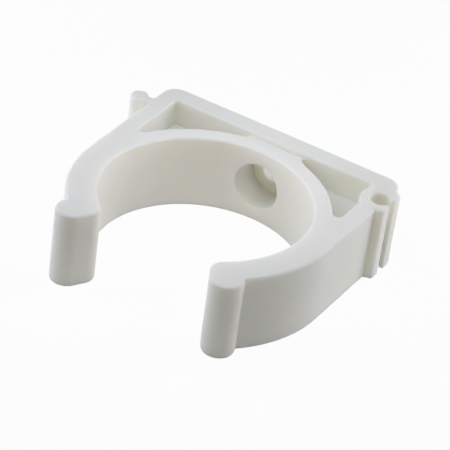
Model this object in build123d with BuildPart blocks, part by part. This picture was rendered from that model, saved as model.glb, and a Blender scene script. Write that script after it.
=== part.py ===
"""Snap-in pipe clip: one plastic moulding that holds a pipe on a wall.

The pipe's axis is +Z and the origin lies on it, midway between the clip's two side faces. The jaws open
towards -Y and the wall is at +Y. Clips join in a row along X: the tongue at -X slides into the next
clip's socket at +X.
"""
from build123d import *
import os
from math import acos, atan2, cos, degrees, hypot, radians, sin, sqrt, tan

# Ring and arms, in millimetres
pipe_diameter = 50.0
clip_width = 19.4
arm_thickness = 7.3
ring_wall = 4.3

# Bar on the wall, and the struts that carry the arms
wall_clearance = 11.4
bar_overhang = 0.4
bar_thickness = 5.2
bar_corner_radius = 4.0
strut_wall = 4.8

# Jaws: the angle is in degrees below the X axis
jaw_angle = 49.4
jaw_bead_radius = 3.9
jaw_bead_inset = 0.6
jaw_nose_radius = 3.25

# Pockets beside the ring
pocket_depth = 6.8
pocket_corner_radius = 1.2

# Crown block between ring and bar: it stands a little nearer to the socket
crown_block_width = 13.4
crown_block_shift = 1.0
crown_flank_angle = 36.0
crown_groove_width = 1.6
crown_groove_depth = 1.2

# Screw hole
screw_hole_diameter = 6.5
screw_head_diameter = 11.9
screw_seat_thickness = 2.9

# Link between clips
link_setback = 9.4
link_clearance = 0.15
link_end_gap = 0.25
tongue_bead_radius = 2.25
tongue_neck_thickness = 2.1
tongue_root_radius = 0.7
socket_inset = 1.3
socket_wall = 2.8
socket_lip_reach = 1.75
socket_lip_radius = 1.0

# Small roundings and the bevel round the side faces
notch_radius = 0.4
rim_bevel = 0.3

# Sizes that follow from those above
ring_radius = pipe_diameter / 2
arm_radius = ring_radius + arm_thickness
crown_radius = ring_radius + ring_wall
wall_distance = ring_radius + wall_clearance
bar_half = arm_radius + bar_overhang
bar_inner_y = wall_distance - bar_thickness
strut_inner_x = bar_half - strut_wall
side_angle = degrees(atan2(wall_distance, bar_half) - acos(arm_radius / hypot(wall_distance, bar_half)))
crown_left = crown_block_shift - crown_block_width / 2
crown_right = crown_block_shift + crown_block_width / 2
crown_pad_y = bar_inner_y - crown_groove_width
screw_seat_y = wall_distance - screw_seat_thickness
crown_flank_run = (crown_pad_y - ring_radius) / tan(radians(crown_flank_angle))
link_y = wall_distance - link_setback
socket_x = bar_half - socket_inset
socket_radius = tongue_bead_radius + link_clearance
socket_outer_radius = socket_radius + socket_wall
socket_mouth = tongue_neck_thickness + 2 * link_clearance
socket_throat_x = socket_x + sqrt(socket_radius**2 - (socket_mouth / 2) ** 2)
socket_lip_x = bar_half + socket_lip_reach
tongue_neck_length = socket_lip_reach + link_end_gap + socket_inset
tongue_x = -bar_half - tongue_neck_length


def on_jaw_ray(distance):
    """Point on the right jaw's ray, at a distance from the pipe's axis."""
    return (distance * cos(radians(jaw_angle)), -distance * sin(radians(jaw_angle)))


def pair_at(x, y_offset):
    """Two points at x, as far above the link's line as below it."""
    return [(x, link_y - y_offset), (x, link_y + y_offset)]


def nearest_vertices(sketch, points):
    """The sketch's vertices that lie nearest to the given points."""
    return [sketch.vertices().sort_by_distance(point)[0] for point in points]


with BuildPart() as pipe_clip:
    # Jaw: the hull of the outer bead and of the nose that guides the pipe in
    with BuildSketch(mode=Mode.PRIVATE) as jaw:
        with Locations(on_jaw_ray(arm_radius - jaw_bead_inset)):
            Circle(jaw_bead_radius)
        with Locations(on_jaw_ray(ring_radius + jaw_nose_radius)):
            Circle(jaw_nose_radius)
        make_hull()

    with BuildSketch() as outline:
        # Bar, struts and arms round the pipe, drawn as one half and mirrored; the side is tangent to the arm
        with BuildLine():
            back = Line((0, wall_distance), (bar_half, wall_distance))
            arm = CenterArc((0, 0), arm_radius, side_angle, -side_angle - jaw_angle)
            Line(back @ 1, arm @ 0)
            Line(arm @ 1, on_jaw_ray(ring_radius))
            CenterArc((0, 0), ring_radius, -jaw_angle, 90 + jaw_angle)
            mirror(about=Plane.YZ)
        make_face()
        fillet(outline.vertices().group_by(Axis.Y)[-1], bar_corner_radius)

        # Jaws, with the notch behind each bead rounded
        add(jaw.sketch)
        add(mirror(jaw.sketch, about=Plane.YZ, mode=Mode.PRIVATE))
        jaw_side = outline.vertices().filter_by_position(Axis.Y, -arm_radius, -arm_radius / 2)
        fillet(jaw_side.group_by(Axis.X)[0] + jaw_side.group_by(Axis.X)[-1], notch_radius)

        # Socket: a C round the next clip's tongue bead, with its lips cut off square
        with Locations((socket_x, link_y)):
            Circle(socket_outer_radius)
        with Locations((socket_lip_x, link_y)):
            Rectangle(
                socket_outer_radius,
                2 * socket_outer_radius,
                align=(Align.MIN, Align.CENTER),
                mode=Mode.SUBTRACT,
            )
        with Locations((socket_x, link_y)):
            Circle(socket_radius, mode=Mode.SUBTRACT)
            Rectangle(
                socket_outer_radius,
                socket_mouth,
                align=(Align.MIN, Align.CENTER),
                mode=Mode.SUBTRACT,
            )
        mouth_corners = pair_at(socket_throat_x, socket_mouth / 2) + pair_at(socket_lip_x, socket_mouth / 2)
        fillet(nearest_vertices(outline, mouth_corners), notch_radius)
        lip_corners = outline.vertices().group_by(Axis.X)[-1].sort_by(Axis.Y)
        fillet([lip_corners[0], lip_corners[-1]], socket_lip_radius)
        fillet(nearest_vertices(outline, pair_at(bar_half, socket_outer_radius)), notch_radius)

        # Tongue: a bead on a thin neck that starts inside the strut
        neck_half = tongue_neck_thickness / 2
        with Locations((tongue_x, link_y)):
            Circle(tongue_bead_radius)
            Rectangle(
                tongue_neck_length + strut_wall / 2,
                tongue_neck_thickness,
                align=(Align.MIN, Align.CENTER),
            )
        fillet(nearest_vertices(outline, pair_at(tongue_x + tongue_bead_radius, neck_half)), tongue_root_radius)
        fillet(nearest_vertices(outline, pair_at(-bar_half, neck_half)), notch_radius)
    extrude(amount=clip_width / 2, both=True)

    # Pockets on both faces: their corners are rounded by shrinking and growing the shape
    with BuildSketch(mode=Mode.PRIVATE) as pockets:
        with Locations((0, bar_inner_y)):
            Rectangle(2 * strut_inner_x, bar_inner_y, align=(Align.CENTER, Align.MAX))
        Circle(crown_radius, mode=Mode.SUBTRACT)
        Polygon(
            (crown_left, bar_inner_y),
            (crown_left, crown_pad_y),
            (crown_left - crown_flank_run, ring_radius),
            (crown_right + crown_flank_run, ring_radius),
            (crown_right, crown_pad_y),
            (crown_right, bar_inner_y),
            align=None,
            mode=Mode.SUBTRACT,
        )
        with Locations((socket_x, link_y)):
            Circle(socket_outer_radius, mode=Mode.SUBTRACT)
        offset(amount=-pocket_corner_radius, mode=Mode.REPLACE)
        offset(amount=pocket_corner_radius, mode=Mode.REPLACE)
    for pocket_z in (-clip_width / 2, clip_width / 2 - pocket_depth):
        with BuildSketch(Plane.XY.offset(pocket_z)):
            add(pockets.sketch)
        extrude(amount=pocket_depth, mode=Mode.SUBTRACT)

    # Shallow groove between the crown and the bar, on both faces, that runs out into the pockets
    for groove_z in (-clip_width / 2, clip_width / 2 - crown_groove_depth):
        with Locations((crown_block_shift, bar_inner_y, groove_z)):
            Box(
                crown_block_width + 4 * pocket_corner_radius,
                crown_groove_width,
                crown_groove_depth,
                align=(Align.CENTER, Align.MAX, Align.MIN),
                mode=Mode.SUBTRACT,
            )

    # Small bevel on every rim of the two side faces
    side_faces = pipe_clip.faces().filter_by(Axis.Z).group_by(Axis.Z)
    rims = side_faces[0].edges() + side_faces[-1].edges()
    chamfer(rims, rim_bevel)

    # Screw hole through the bar, with a bore for the screw's head through the crown and into the bar
    with Locations(Plane((0, 0, 0), x_dir=(1, 0, 0), z_dir=(0, -1, 0))):
        CounterBoreHole(screw_hole_diameter / 2, screw_head_diameter / 2, screw_seat_y)

pipe_clip.part.label = "pipe_clip"
os.makedirs("parts", exist_ok=True)
export_step(pipe_clip.part, "parts/pipe_clip.step")
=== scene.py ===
"""Looks of the white pipe clip: satin moulded plastic on a white table under soft studio light."""

from math import cos, radians, sin

import bpy
import numpy as np
from mathutils import Matrix, Vector


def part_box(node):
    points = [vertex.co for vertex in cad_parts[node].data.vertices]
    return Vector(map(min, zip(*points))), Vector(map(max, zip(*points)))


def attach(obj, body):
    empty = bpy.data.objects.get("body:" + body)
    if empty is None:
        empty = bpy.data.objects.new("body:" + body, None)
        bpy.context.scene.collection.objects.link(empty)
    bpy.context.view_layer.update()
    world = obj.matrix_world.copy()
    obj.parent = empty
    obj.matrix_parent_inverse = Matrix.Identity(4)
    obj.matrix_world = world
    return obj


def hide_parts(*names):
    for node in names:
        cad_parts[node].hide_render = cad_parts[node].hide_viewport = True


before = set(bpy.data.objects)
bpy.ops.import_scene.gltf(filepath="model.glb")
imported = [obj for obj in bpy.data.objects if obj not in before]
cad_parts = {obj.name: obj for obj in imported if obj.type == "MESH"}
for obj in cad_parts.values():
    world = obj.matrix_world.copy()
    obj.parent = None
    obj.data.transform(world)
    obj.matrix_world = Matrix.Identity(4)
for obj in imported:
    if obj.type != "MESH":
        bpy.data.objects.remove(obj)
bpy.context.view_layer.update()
low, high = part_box("pipe_clip")

MM = 0.001

# Camera: where the photograph was taken from, in degrees and metres round the pipe's axis
VIEW_AZIMUTH = 27.106
VIEW_ELEVATION = 34.088
VIEW_ROLL = 8.161
VIEW_DISTANCE = 563.08 * MM
VIEW_SLIDE_RIGHT = 5.189 * MM
VIEW_SLIDE_UP = 2.043 * MM
VIEW_PIVOT_HEIGHT = 0.276 * MM
FOCAL_PIXELS = 2435.7
IMAGE_PIXELS = 450
SENSOR_WIDTH = 36.0
CLIP_NEAR = 0.01
CLIP_FAR = 20

# Tent: the direction that its light comes from, its level and colour there, and the power by which it fades
TENT_DIRECTION = (0.117, -0.641, 0.757)
TENT_LEVEL = 0.765
TENT_NARROWNESS = 6
TENT_COLOUR = (1, 1, 0.99)

# Lamps: direction from the middle of the clip, distance and size in metres, power in watts, and colour
SOFTBOXES = {
    "softbox_ring": ((0, 0.1, 1), 0.06, 0.05, 0.0143, (0.77, 0.825, 1)),
    "softbox_bore": ((0, 0.1, 1), 0.02, 0.02, 0.0005, (1, 0.62, 0.2)),
    "softbox_back": ((0.656, 0.656, 0.375), 0.25, 0.20, 0.37, (0.91, 0.925, 1)),
    "softbox_left": ((-0.91, -0.177, 0.375), 0.25, 0.20, 0.413, (0.805, 0.85, 1)),
}

# Table: half its side in metres, its own colour, and how much of what the camera sees of it is plain white
TABLE_HALF = 1.5
TABLE_COLOUR = (0.95, 0.94, 0.92)
TABLE_ROUGHNESS = 0.9
TABLE_WHITE_SHARE = 0.95

# Plastic: the range of the flow noise, with the tint and the roughness at its two ends
FLOW_SCALE = 60
FLOW_DETAIL = 3
FLOW_RANGE = (0.3, 0.7)
FLOW_TINTS = ((0.891, 0.876, 0.793), (0.909, 0.894, 0.809))
FLOW_ROUGHNESS = (0.40, 0.50)
GRAIN_SCALE = 2200
GRAIN_DETAIL = 2
GRAIN_STRENGTH = 0.25
GRAIN_HEIGHT = 0.02 * MM
GLOSS_LEVEL = 0.2
SCATTER_DEPTH = 2.5 * MM
SCATTER_COLOUR = (1.0, 0.9, 0.7)

# Moulding: the bevel round the solid's side faces, the rounding that the skin has there, and how near two
# points are to be one point
RIM_BEVEL = 0.3 * MM
RIM_RADIUS = 0.6 * MM
WELD_DISTANCE = 0.001 * MM
# A bevel's triangles lie within this many bevels of a side face, and their normals rise by this much
BEVEL_REACH = 1.1
BEVEL_RISE = (0.3, 0.95)
# A rim that turns outwards grows by at most this share of the turn's radius, and a turn gentler than this, as
# one over its radius in metres, counts as this one
TURN_SHARE = 0.5
GENTLEST_TURN = 1
# From this share of its bevel up, a point is at the side face
TOP_SHARE = 0.9
# Passes that cut a triangle at its rungs, carry the growth over a bevel's rows, and settle what turns over
RUNG_PASSES = 2
GROWTH_PASSES = 3
SETTLING_PASSES = 4
# Least length and area to divide by, in metres and square metres, and the least sum of unit normals that
# still gives a direction
LEAST_LENGTH = 1e-9
LEAST_AREA = 1e-15
LEAST_NORMAL = 0.1


def add_camera():
    """Camera on the photograph's line of sight: slid in its own image plane, then rolled about that line."""
    turn = radians(VIEW_AZIMUTH)
    rise = radians(VIEW_ELEVATION)
    roll = radians(VIEW_ROLL)
    back = Vector((sin(turn) * cos(rise), -cos(turn) * cos(rise), sin(rise)))
    level_right = Vector((cos(turn), sin(turn), 0))
    level_up = back.cross(level_right)
    place = Vector((0, 0, VIEW_PIVOT_HEIGHT)) + back * VIEW_DISTANCE
    place += level_right * VIEW_SLIDE_RIGHT + level_up * VIEW_SLIDE_UP
    right = level_right * cos(roll) + level_up * sin(roll)
    up = level_up * cos(roll) - level_right * sin(roll)
    data = bpy.data.cameras.new("camera")
    data.sensor_width = SENSOR_WIDTH
    data.lens = FOCAL_PIXELS / IMAGE_PIXELS * SENSOR_WIDTH
    data.clip_start = CLIP_NEAR
    data.clip_end = CLIP_FAR
    camera = bpy.data.objects.new("camera", data)
    camera.matrix_world = Matrix.Translation(place) @ Matrix((right, up, back)).transposed().to_4x4()
    bpy.context.scene.collection.objects.link(camera)
    bpy.context.scene.camera = camera


def add_softbox(name, direction, distance, size, power, colour):
    """Square area lamp that stands off from the clip along a direction and faces it."""
    data = bpy.data.lights.new(name, "AREA")
    data.shape = "SQUARE"
    data.size = size
    data.energy = power
    data.color = colour
    lamp = bpy.data.objects.new(name, data)
    aim = Vector(direction).normalized()
    lamp.location = aim * distance
    lamp.rotation_euler = aim.to_track_quat("Z", "Y").to_euler()
    lamp.visible_camera = False
    bpy.context.scene.collection.objects.link(lamp)


def seen_directly(nodes, links):
    """Light path value that is 1 for rays of the camera and of mirrors and glass, and 0 for diffuse light."""
    path = nodes.new("ShaderNodeLightPath")
    mirrored = nodes.new("ShaderNodeMath")
    mirrored.operation = "MAXIMUM"
    links.new(path.outputs["Is Glossy Ray"], mirrored.inputs[0])
    links.new(path.outputs["Is Transmission Ray"], mirrored.inputs[1])
    direct = nodes.new("ShaderNodeMath")
    direct.operation = "MAXIMUM"
    links.new(path.outputs["Is Camera Ray"], direct.inputs[0])
    links.new(mirrored.outputs["Value"], direct.inputs[1])
    return direct.outputs["Value"]


def add_world():
    """White studio tent: its light fades as a power of the cosine to one direction.

    Seen directly, the tent is plain white all over.
    """
    world = bpy.data.worlds.new("studio")
    world.use_nodes = True
    nodes = world.node_tree.nodes
    links = world.node_tree.links
    look = nodes.new("ShaderNodeTexCoord")
    facing = nodes.new("ShaderNodeVectorMath")
    facing.operation = "DOT_PRODUCT"
    facing.inputs[1].default_value = Vector(TENT_DIRECTION).normalized()
    links.new(look.outputs["Generated"], facing.inputs[0])
    ahead = nodes.new("ShaderNodeMath")
    ahead.operation = "MAXIMUM"
    ahead.inputs[1].default_value = 0
    links.new(facing.outputs["Value"], ahead.inputs[0])
    fade = nodes.new("ShaderNodeMath")
    fade.operation = "POWER"
    fade.inputs[1].default_value = TENT_NARROWNESS
    links.new(ahead.outputs["Value"], fade.inputs[0])
    level = nodes.new("ShaderNodeMath")
    level.operation = "MULTIPLY"
    level.inputs[1].default_value = TENT_LEVEL
    links.new(fade.outputs["Value"], level.inputs[0])
    tent = nodes["Background"]
    tent.inputs["Color"].default_value = (*TENT_COLOUR, 1)
    links.new(level.outputs["Value"], tent.inputs["Strength"])
    white = nodes.new("ShaderNodeBackground")
    white.inputs["Color"].default_value = (1, 1, 1, 1)
    choice = nodes.new("ShaderNodeMixShader")
    links.new(seen_directly(nodes, links), choice.inputs["Fac"])
    links.new(tent.outputs["Background"], choice.inputs[1])
    links.new(white.outputs["Background"], choice.inputs[2])
    links.new(choice.outputs["Shader"], nodes["World Output"].inputs["Surface"])
    bpy.context.scene.world = world


def white_plastic():
    """Satin white moulding compound: faint flow mottling in colour and gloss, and a fine matt grain.

    One noise blends two tints and two levels of roughness, a finer one is the height of the grain, and light
    scatters below the surface.
    """
    material = bpy.data.materials.new("satin_white_plastic")
    material.use_nodes = True
    nodes = material.node_tree.nodes
    links = material.node_tree.links
    shader = nodes["Principled BSDF"]
    place = nodes.new("ShaderNodeTexCoord")

    flow = nodes.new("ShaderNodeTexNoise")
    flow.inputs["Scale"].default_value = FLOW_SCALE
    flow.inputs["Detail"].default_value = FLOW_DETAIL
    links.new(place.outputs["Object"], flow.inputs["Vector"])
    tint = nodes.new("ShaderNodeValToRGB")
    for stop, position, colour in zip(tint.color_ramp.elements, FLOW_RANGE, FLOW_TINTS):
        stop.position = position
        stop.color = (*colour, 1)
    links.new(flow.outputs["Fac"], tint.inputs["Fac"])
    links.new(tint.outputs["Color"], shader.inputs["Base Color"])

    polish = nodes.new("ShaderNodeMapRange")
    polish.inputs["From Min"].default_value, polish.inputs["From Max"].default_value = FLOW_RANGE
    polish.inputs["To Min"].default_value, polish.inputs["To Max"].default_value = FLOW_ROUGHNESS
    links.new(flow.outputs["Fac"], polish.inputs["Value"])
    links.new(polish.outputs["Result"], shader.inputs["Roughness"])

    grain = nodes.new("ShaderNodeTexNoise")
    grain.inputs["Scale"].default_value = GRAIN_SCALE
    grain.inputs["Detail"].default_value = GRAIN_DETAIL
    links.new(place.outputs["Object"], grain.inputs["Vector"])
    matt = nodes.new("ShaderNodeBump")
    matt.inputs["Strength"].default_value = GRAIN_STRENGTH
    matt.inputs["Distance"].default_value = GRAIN_HEIGHT
    links.new(grain.outputs["Fac"], matt.inputs["Height"])
    links.new(matt.outputs["Normal"], shader.inputs["Normal"])

    shader.inputs["Specular IOR Level"].default_value = GLOSS_LEVEL
    shader.inputs["Subsurface Weight"].default_value = 1.0
    shader.inputs["Subsurface Radius"].default_value = SCATTER_COLOUR
    shader.inputs["Subsurface Scale"].default_value = SCATTER_DEPTH
    return material


def soften_rims(node):
    """Skin of the moulding: the solid's own surface, welded, with every rim's bevel made a wider rounding."""
    solid = node.data
    points = np.empty(3 * len(solid.vertices))
    solid.vertices.foreach_get("co", points)
    corners = np.empty(len(solid.loops), int)
    solid.loops.foreach_get("vertex_index", corners)
    normals = np.empty(3 * len(solid.loops))
    solid.corner_normals.foreach_get("vector", normals)
    points = points.reshape(-1, 3)
    normals = normals.reshape(-1, 3, 3)
    cells = np.round(points / WELD_DISTANCE).astype(int)
    _, first, weld = np.unique(cells, axis=0, return_index=True, return_inverse=True)
    points = points[first]
    faces = weld.reshape(-1)[corners].reshape(-1, 3)
    points, faces, normals = halve_rungs(points, faces, normals)
    points, normals = round_rims(points, faces, normals)
    mesh = bpy.data.meshes.new("clip_skin")
    mesh.from_pydata(points.tolist(), [], faces.tolist())
    mesh.polygons.foreach_set("use_smooth", np.ones(len(faces), bool))
    mesh.normals_split_custom_set(normals.reshape(-1, 3).tolist())
    skin = bpy.data.objects.new("clip_skin", mesh)
    bpy.context.scene.collection.objects.link(skin)
    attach(skin, "root")
    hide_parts("pipe_clip")
    return skin


def face_normals(points, faces):
    """Normal of each triangle, twice as long as the triangle's area."""
    a, b, c = (points[faces[:, corner]] for corner in range(3))
    return np.cross(b - a, c - a)


def bevel_faces(points, faces):
    """Which triangles lie on a rim's bevel: near a side face all over, and neither flat nor upright."""
    across = face_normals(points, faces)
    rise = np.abs(across[:, 2]) / np.maximum(np.linalg.norm(across, axis=1), LEAST_AREA)
    heights = np.abs(points[faces][:, :, 2]).min(axis=1)
    near_side = heights > high.z - BEVEL_REACH * RIM_BEVEL
    return near_side & (rise > BEVEL_RISE[0]) & (rise < BEVEL_RISE[1])


def bevel_share(points):
    """How far up its bevel each point lies: 0 at the edge on the wall, 1 at the edge on the side face."""
    return (np.abs(points[:, 2]) - high.z + RIM_BEVEL) / RIM_BEVEL


def side_keys(starts, stops, count):
    """One number for a side, the same both ways: its lower point's number times count, plus the higher's."""
    return np.minimum(starts, stops) * count + np.maximum(starts, stops)


def rung_sides(points, faces):
    """Which sides of each triangle span a bevel: from a share of 0 to a share of 1, at the same side face.

    A triangle's first side goes from its first corner to its second, and so on round.
    """
    stops = np.roll(faces, -1, axis=1)
    share = np.round(bevel_share(points), 2)
    lower = np.minimum(share[faces], share[stops])
    upper = np.maximum(share[faces], share[stops])
    same_side = points[faces][:, :, 2] * points[stops][:, :, 2] > 0
    return same_side & (lower == 0) & (upper == 1)


def halve_rungs(points, faces, normals):
    """The surface with a middle row of points on its bevels: every side that spans a bevel is halved.

    A triangle with such a side is cut from the middle of it to the opposite corner. Some have two such sides,
    so there is a second pass, and both triangles at a side share its middle point.
    """
    count = len(points)
    rungs = np.unique(side_keys(faces, np.roll(faces, -1, axis=1), count)[rung_sides(points, faces)])
    points = np.concatenate([points, (points[rungs // count] + points[rungs % count]) / 2])
    for _ in range(RUNG_PASSES):
        spans = rung_sides(points, faces)
        cut = spans.any(axis=1)
        order = (spans[cut].argmax(axis=1)[:, None] + np.arange(3)) % 3
        a, b, c = np.take_along_axis(faces[cut], order, axis=1).T
        at_a, at_b, at_c = np.take_along_axis(normals[cut], order[:, :, None], axis=1).transpose(1, 0, 2)
        m = count + np.searchsorted(rungs, side_keys(a, b, count))
        at_m = (at_a + at_b) / 2
        halves = [np.stack([a, m, c], axis=1), np.stack([m, b, c], axis=1)]
        half_normals = [np.stack([at_a, at_m, at_c], axis=1), np.stack([at_m, at_b, at_c], axis=1)]
        faces = np.concatenate([faces[~cut]] + halves)
        normals = np.concatenate([normals[~cut]] + half_normals)
    return points, faces, normals


def rim_outward(points, bevels):
    """Level direction away from the wall at each bevel point: the mean of its bevel triangles' own."""
    level = face_normals(points, bevels)[:, :2]
    level /= np.linalg.norm(level, axis=1, keepdims=True)
    outward = np.zeros_like(points)
    np.add.at(outward[:, :2], bevels.reshape(-1), np.repeat(level, 3, axis=0))
    return outward / np.maximum(np.linalg.norm(outward, axis=1, keepdims=True), LEAST_LENGTH)


def rim_growth(points, bevels, outward):
    """How far each point's bevel may grow: to RIM_RADIUS, or less where the rim turns outwards tightly.

    The sharpness of a turn, one over its radius, is how far the outward direction changes from one end to the
    other of a triangle's side along the side face, over that side's length. The smallest growth in a triangle
    holds for all of its corners, and a few passes carry it over the bevel's rows.
    """
    at_side_face = bevel_share(points) > TOP_SHARE
    rim = np.concatenate([bevels[:, [0, 1]], bevels[:, [1, 2]], bevels[:, [2, 0]]])
    rim = rim[at_side_face[rim].all(axis=1)]
    run = points[rim[:, 1]] - points[rim[:, 0]]
    turn = outward[rim[:, 1]] - outward[rim[:, 0]]
    sharpness = (run * turn).sum(axis=1) / (run**2).sum(axis=1)
    growth = np.full(len(points), RIM_RADIUS - RIM_BEVEL)
    room = TURN_SHARE / np.maximum(sharpness, GENTLEST_TURN)
    np.minimum.at(growth, rim.reshape(-1), np.repeat(room, 2))
    for _ in range(GROWTH_PASSES):
        np.minimum.at(growth, bevels.reshape(-1), np.repeat(growth[bevels].min(axis=1), 3))
    return growth


def round_rims(points, faces, normals):
    """Points and corner normals of the skin with every bevel turned into a quarter round of a larger radius.

    A point at a share t of its bevel goes to the angle 90 t degrees on an arc that touches the wall and the
    side face. The arc's radius is the bevel plus its growth, and where a triangle would turn over, its bevel
    doesn't grow: a few passes settle that. A bevel's corner takes the mean normal of the other faces at its
    point, or the arc's normal where there is none.
    """
    on_bevel = bevel_faces(points, faces)
    bevels = faces[on_bevel]
    outward = rim_outward(points, bevels)
    upward = np.zeros_like(points)
    upward[:, 2] = np.sign(points[:, 2])
    growth = rim_growth(points, bevels, outward)

    rim_points = np.unique(bevels)
    share = bevel_share(points)[rim_points, None]
    angle = share * np.pi / 2
    inset = -RIM_BEVEL * share
    before = face_normals(points, faces)
    for _ in range(SETTLING_PASSES):
        radius = RIM_BEVEL + growth[rim_points, None]
        sideways = radius * (np.cos(angle) - 1) - inset
        lift = radius * (np.sin(angle) - 1) + RIM_BEVEL + inset
        rounded = points.copy()
        rounded[rim_points] += sideways * outward[rim_points] + lift * upward[rim_points]
        turned = (face_normals(rounded, faces) * before).sum(axis=1) <= 0
        growth[faces[turned].reshape(-1)] = 0

    arc_normals = np.zeros_like(points)
    arc_normals[rim_points] = np.cos(angle) * outward[rim_points] + np.sin(angle) * upward[rim_points]
    mean = np.zeros_like(points)
    np.add.at(mean, faces[~on_bevel].reshape(-1), normals[~on_bevel].reshape(-1, 3))
    length = np.linalg.norm(mean, axis=1, keepdims=True)
    mean = np.where(length > LEAST_NORMAL, mean / np.maximum(length, LEAST_LENGTH), arc_normals)
    normals[on_bevel] = mean[bevels]
    return rounded, normals


def add_floor():
    """White table under the clip: a square, plain white to the camera, with the clip's soft shadow on it."""
    half = TABLE_HALF
    mesh = bpy.data.meshes.new("floor")
    corners = [(-half, -half, low.z), (half, -half, low.z), (half, half, low.z), (-half, half, low.z)]
    mesh.from_pydata(corners, [], [(0, 1, 2, 3)])
    floor = bpy.data.objects.new("floor", mesh)
    bpy.context.scene.collection.objects.link(floor)
    material = bpy.data.materials.new("table")
    material.use_nodes = True
    nodes = material.node_tree.nodes
    links = material.node_tree.links
    shader = nodes["Principled BSDF"]
    shader.inputs["Base Color"].default_value = (*TABLE_COLOUR, 1)
    shader.inputs["Roughness"].default_value = TABLE_ROUGHNESS
    white = nodes.new("ShaderNodeEmission")
    share = nodes.new("ShaderNodeMath")
    share.operation = "MULTIPLY"
    share.inputs[1].default_value = TABLE_WHITE_SHARE
    blend = nodes.new("ShaderNodeMixShader")
    links.new(seen_directly(nodes, links), share.inputs[0])
    links.new(share.outputs["Value"], blend.inputs["Fac"])
    links.new(shader.outputs["BSDF"], blend.inputs[1])
    links.new(white.outputs["Emission"], blend.inputs[2])
    links.new(blend.outputs["Shader"], nodes["Material Output"].inputs["Surface"])
    mesh.materials.append(material)


clip = soften_rims(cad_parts["pipe_clip"])
clip.data.materials.append(white_plastic())
add_floor()
add_world()
for name, settings in SOFTBOXES.items():
    add_softbox(name, *settings)
add_camera()

bpy.context.scene.view_settings.view_transform = "Standard"
